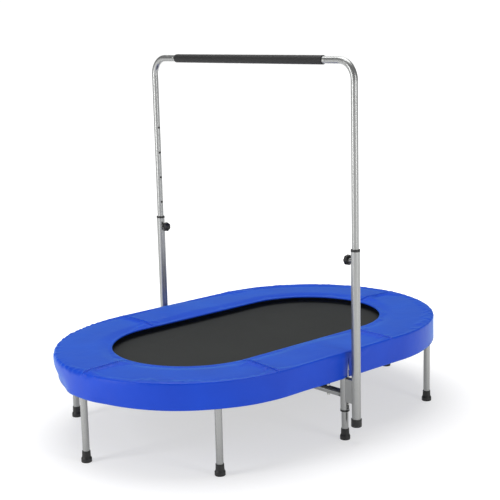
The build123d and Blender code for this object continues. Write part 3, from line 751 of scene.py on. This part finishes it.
def wireMesh(line, thickness, sides):          # round wire along a line, with closed ends
    forward = np.gradient(line, axis=0)
    forward /= np.linalg.norm(forward, axis=1)[:, None]
    guide = np.cross(forward[0], (0.3, 0.9, 0.2))
    rings = []
    for point, way in zip(line, forward):
        guide = guide - way * guide.dot(way)
        guide /= np.linalg.norm(guide)
        across = np.cross(way, guide)
        for k in range(sides):
            angle = 2 * math.pi * k / sides
            rings.append(point + thickness / 2 * (guide * math.cos(angle) + across * math.sin(angle)))
    return np.array(rings), loftFaces(len(line), sides, False)


def makeSprings(sideName):
    body, side = halves[sideName]
    rings, faces = wireMesh(springLine(), spring["wire"], spring["wireSides"])
    vertices, allFaces = [], []
    for x, y, turn in springPlaces():
        base = len(vertices)
        cosine, sine = math.cos(turn), math.sin(turn)
        spin = np.array(((cosine, -sine, 0), (sine, cosine, 0), (0, 0, 1)))
        placed = rings @ spin.T + (x, y, (matLow.z + matHigh.z) / 2)
        placed[:, 0] *= side
        vertices += [tuple(p) for p in placed]
        order = -1 if side > 0 else 1
        allFaces += [tuple(base + v for v in face)[::order] for face in faces]
    piece = newPiece("springs" + sideName, vertices, allFaces, finishes["zinc_steel"], body)
    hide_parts("springs_" + sideName.lower())


def tabSpot(place, side, along, across, z):          # from a tab's own axes to the frame
    x, y, turn = place
    spot = Matrix.Rotation(turn, 3, "Z") @ Vector((along, across, 0)) + Vector((x, y, z))
    return side * spot.x, spot.y, spot.z


def makeTabs(sideName):          # webbing tab over each ring's straight side, sewn to the hem
    side = halves[sideName][1]
    vertices, faces, spots = [], [], []
    half, thick = tab["width"] / 2, tab["thick"]
    top = matHigh.z + tab["lift"]
    start, end = hemInside + 0.0015, matRadius + 0.0012
    profile = [(start, top), (start + 0.001, top + thick * 0.7), (start + 0.006, top + thick),
               (end - 0.004, top + thick), (end - 0.001, top + thick * 0.6), (end, top - 0.003),
               (end - 0.0012, top - 0.003), (end - 0.004, top)]
    for place in springPlaces():
        base = len(vertices)
        for j in range(6):
            across = -half + 2 * half * j / 5
            vertices += [tabSpot(place, side, along, across, z) for along, z in profile]
        order = 1 if side > 0 else -1
        faces += [tuple(base + v for v in face)[::order] for face in loftFaces(6, len(profile), False)]
        for rowShare in tab["stitchShares"]:
            radius = start + (end - start) * rowShare
            for k in range(3):
                first = tab["stitchFrom"] + k * tab["stitchPitch"]
                ends = (first, first + tab["stitchLength"])
                spots.append([tabSpot(place, side, radius, across, top + thick * 0.95) for across in ends])
    tabs = newPiece("ringTabs" + sideName, vertices, faces, finishes["webbing"])
    for polygon in tabs.data.polygons:
        polygon.use_smooth = False
    stitchVertices, stitchFaces = stitchRow(spots, mat["stitchWidth"], 0.0005)
    stitches = newPiece("tabStitches" + sideName, stitchVertices, stitchFaces, blackThread)
    for piece in (tabs, stitches):
        bendAcrossHinge(piece)
    return tabs, stitches


for sideName in halves:
    cloth = makeMat(sideName)
    band = makeHem(sideName)
    hemStitches = makeHemStitches(sideName)
    makeSprings(sideName)
    tabs, tabStitches = makeTabs(sideName)
print("mats, hems, springs and tabs made")

thread = {
    "pitch": 0.0085,
    "length": 0.006,
    "width": 0.0009,
    "rise": 0.0006,
    "besideSeam": 0.0085,
    "fromLip": 0.012,
    "fromCrease": 0.016,
}


def coverHeight(points, x, y):          # height of the cover's top nearest this spot
    below = points[:, 2] < padHigh.z - 0.013          # leaves out the skirt and the underside
    near = np.hypot(points[:, 0] - x, points[:, 1] - y) + 10 * below
    return float(points[near.argmin(), 2])


def makePadStitches(sideName):          # one line of stitches on each side of a cross seam
    body, side = halves[sideName]
    points = np.array([v.co[:] for v in bpy.data.objects["pad" + sideName].data.vertices])
    spots = []
    for seam in padSeams[sideName]:
        for beside in (-1, 1):
            radius = innerRadius + thread["fromLip"]
            while radius < endRadius - thread["fromCrease"]:
                ends = []
                for reach in (radius, radius + thread["length"]):
                    x, y = ovalSpot(seam + beside * thread["besideSeam"], reach, side)
                    ends.append((x, y, coverHeight(points, x, y) - 0.0001))
                spots.append(ends)
                radius += thread["pitch"]
    vertices, faces = stitchRow(spots, thread["width"], thread["rise"])
    piece = newPiece("padStitches" + sideName, vertices, faces, blueThread, body)


for sideName in halves:
    makePadStitches(sideName)
print("pad stitches made")

grip = {"rings": 140, "sides": 40, "wobble": 0.00025, "endRound": 0.0035}


def makeGrip():          # a sleeve with rounded ends and a slightly uneven skin
    halfLength, rounding = gripHigh.y, grip["endRound"]
    outer = (gripHigh.z - gripLow.z) / 2
    axis = (gripHigh.z + gripLow.z) / 2
    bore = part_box("cross_tube")[1][2] - axis
    profile = [(-halfLength, bore + 0.00005), (-halfLength, outer - rounding)]
    for k in range(1, 6):
        angle = math.pi / 2 * k / 5
        across, down = rounding * (1 - math.cos(angle)), rounding * (1 - math.sin(angle))
        profile.append((-halfLength + across, outer - down))
    for k in range(1, grip["rings"]):
        profile.append((-halfLength + rounding + 2 * (halfLength - rounding) * k / grip["rings"], outer))
    profile += [(-y, radius) for y, radius in profile[6::-1]]
    vertices = []
    for y, radius in profile:
        for k in range(grip["sides"]):
            angle = 2 * math.pi * k / grip["sides"]
            wobble = grip["wobble"] * (noise.noise((y * 60, math.cos(angle), math.sin(angle))) - 0.5)
            size = radius + (wobble if radius > bore + 0.001 else 0)
            vertices.append((size * math.cos(angle), y, axis + size * math.sin(angle)))
    faces = loftFaces(len(profile), grip["sides"], False, capEnds=False)
    count, last = grip["sides"], (len(profile) - 1) * grip["sides"]
    for k in range(count):          # the bore closes the sleeve from end to end
        m = (k + 1) % count
        faces.append((k, last + k, last + m, m))
    piece = newPiece("foamGrip", vertices, faces, finishes["grip_foam"], "handlebar")
    for edge in piece.data.edges:
        if all(v < count for v in edge.vertices) or all(v >= last for v in edge.vertices):
            edge.use_edge_sharp = True
    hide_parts("foam_grip")


makeGrip()
print("grip made")

knob = {
    "lobes": 7,
    "lobeDepth": 0.0017,
    "sides": 112,
    "faceDish": 0.0016,
    "rimRound": 0.0032,
    "backRound": 0.0022,
    "hubRadius": 0.0098,
}


def makeKnob(name, node, body):          # turned section with finger lobes cut into its rim
    low, high = corners(node)
    middle = (low + high) / 2
    radius = (high.z - low.z) / 2
    inward = -1 if middle.y > 0 else 1          # the grip faces the middle of the frame
    back = high.y if middle.y > 0 else low.y
    depth = high.y - low.y
    rounding, backRound, hub = knob["rimRound"], knob["backRound"], knob["hubRadius"]
    section = [(0.0, 0.0045), (0.0, hub), (0.0016, hub + 0.0006), (0.002, radius - 0.0035)]
    for k in range(5):
        angle = math.pi / 2 * k / 4
        along, down = backRound * (1 - math.cos(angle)), backRound * (1 - math.sin(angle))
        section.append((0.002 + along, radius - down))
    for k in range(7):
        angle = math.pi / 2 * k / 6
        along, down = rounding * (1 - math.sin(angle)), rounding * (1 - math.cos(angle))
        section.append((depth - along, radius - down))
    face = depth - knob["faceDish"]
    rim = radius - rounding
    section += [(depth - 0.0002, rim - 0.002), (face, rim - 0.004), (face, 0.0015)]
    vertices = []
    for reach, size in section:
        for k in range(knob["sides"]):
            angle = 2 * math.pi * k / knob["sides"]
            lobe = 0.5 - 0.5 * math.cos(knob["lobes"] * angle)
            wide = size - knob["lobeDepth"] * (1 - lobe) ** 1.6 * ease(size, radius * 0.62, radius)
            vertices.append((middle.x + wide * math.cos(angle), back + inward * reach,
                             middle.z + wide * math.sin(angle)))
    faces = loftFaces(len(section), knob["sides"], inward > 0)
    piece = newPiece(name, vertices, faces, finishes["black_plastic"], body)
    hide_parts(node)


makeKnob("knobFar", "knob_far", "far_knob")
makeKnob("knobNear", "knob_near", "near_knob")
print("knobs made")

view = {
    "place": Vector((-2.552, -2.83834, 1.30956)),
    "yaw": 0.732635,          # from +Y towards +X
    "pitch": -0.19464,
    "roll": -0.024437,
    "lens": 83.2,
}


def makeCamera():
    yaw, pitch, roll = view["yaw"], view["pitch"], view["roll"]
    aim = Vector((math.sin(yaw) * math.cos(pitch), math.cos(yaw) * math.cos(pitch), math.sin(pitch)))
    level = Vector((math.cos(yaw), -math.sin(yaw), 0))
    right = math.cos(roll) * level + math.sin(roll) * level.cross(aim)
    up = right.cross(aim)
    camera = bpy.data.objects.new("camera", bpy.data.cameras.new("camera"))
    turn = Matrix((right, up, -aim)).transposed()
    camera.matrix_world = Matrix.Translation(view["place"]) @ turn.to_4x4()
    camera.data.lens = view["lens"]
    camera.data.sensor_width = 36
    camera.data.clip_end = 80
    scene.collection.objects.link(camera)
    scene.camera = camera


studio = {
    "floorRadius": 30.0,
    "paintedFillNearMiddle": 0.56,          # the floor glows as painted fill light so that shadows stay pale; the glow is weakest near the middle, a painted shade round the object
    "paintedFillFarOut": 1.1,
    "glowFrom": 0.5,
    "glowTo": 1.6,
    "skyGlow": 0.26,
    "wallGlow": 1.05,           # what the camera sees behind the object
    "overhead": {"place": (0.3, 0.4, 3.2), "aim": (0, 0, 0.2), "size": (2.6, 2.6), "power": 80},
    "leftStrip": {"place": (-2.95, 0.62, 1.25), "aim": (0, 0, 0.5), "size": (0.9, 2.0), "power": 40},
    "rightStrip": {"place": (0.1, -3.3, 1.25), "aim": (0, 0, 0.5), "size": (0.9, 2.0), "power": 26},
}


def makeFloor():
    # floor: white and matt, with a glow that is painted fill light and is weaker near the middle, a
    # painted shade round the object
    material, tree, surface, place = newMaterial("floorPaintedFill", Roughness=0.85)
    surface.inputs["Base Color"].default_value = srgb("#b4b4b4")
    surface.inputs["Specular IOR Level"].default_value = 0.1
    surface.inputs["Emission Color"].default_value = (1, 1, 1, 1)
    # glow strength rises with distance from the middle: painted fill light everywhere, with painted shade
    # near the object
    away = addNode(tree, "ShaderNodeVectorMath", {0: place}, operation="LENGTH")
    glow = addNode(tree, "ShaderNodeMapRange", {"Value": away.outputs["Value"]},
                   {"From Min": studio["glowFrom"], "From Max": studio["glowTo"],
                    "To Min": studio["paintedFillNearMiddle"], "To Max": studio["paintedFillFarOut"]},
                   interpolation_type="SMOOTHSTEP")
    tree.links.new(glow.outputs["Result"], surface.inputs["Emission Strength"])
    count, vertices, faces = 64, [(0, 0, 0)], []
    for ring in (1.5, 4.0, 10.0, studio["floorRadius"]):
        for k in range(count):
            angle = 2 * math.pi * k / count
            vertices.append((ring * math.cos(angle), ring * math.sin(angle), 0))
    for k in range(count):
        m = (k + 1) % count
        faces.append((0, 1 + k, 1 + m))
        for ring in range(3):
            a, b = 1 + ring * count + k, 1 + ring * count + m
            faces.append((a, a + count, b + count, b))
    newPiece("studioFloor", vertices, faces, material)


def softBox(name):
    light = bpy.data.objects.new(name, bpy.data.lights.new(name, "AREA"))
    place, aim = Vector(studio[name]["place"]), Vector(studio[name]["aim"])
    light.data.shape = "RECTANGLE"
    light.data.size, light.data.size_y = studio[name]["size"]
    light.data.energy = studio[name]["power"]
    light.visible_camera = False
    light.location = place
    light.rotation_euler = (aim - place).to_track_quat("-Z", "Y").to_euler()
    scene.collection.objects.link(light)


def makeLights():
    for name in ("overhead", "leftStrip", "rightStrip"):
        softBox(name)
    world = scene.world or bpy.data.worlds.new("studio")
    scene.world = world
    world.use_nodes = True
    tree = world.node_tree
    tree.nodes.clear()
    seen = addNode(tree, "ShaderNodeLightPath").outputs["Is Camera Ray"]
    strength = addNode(tree, "ShaderNodeMapRange", {"Value": seen},
                       {"To Min": studio["skyGlow"], "To Max": studio["wallGlow"]})
    glow = addNode(tree, "ShaderNodeBackground", {"Strength": strength.outputs["Result"]},
                   {"Color": (1, 1, 1, 1)})
    addNode(tree, "ShaderNodeOutputWorld", {"Surface": glow.outputs["Background"]})


makeCamera()
makeLights()
makeFloor()
scene.view_settings.view_transform = "Standard"
print("camera, lights and floor made")
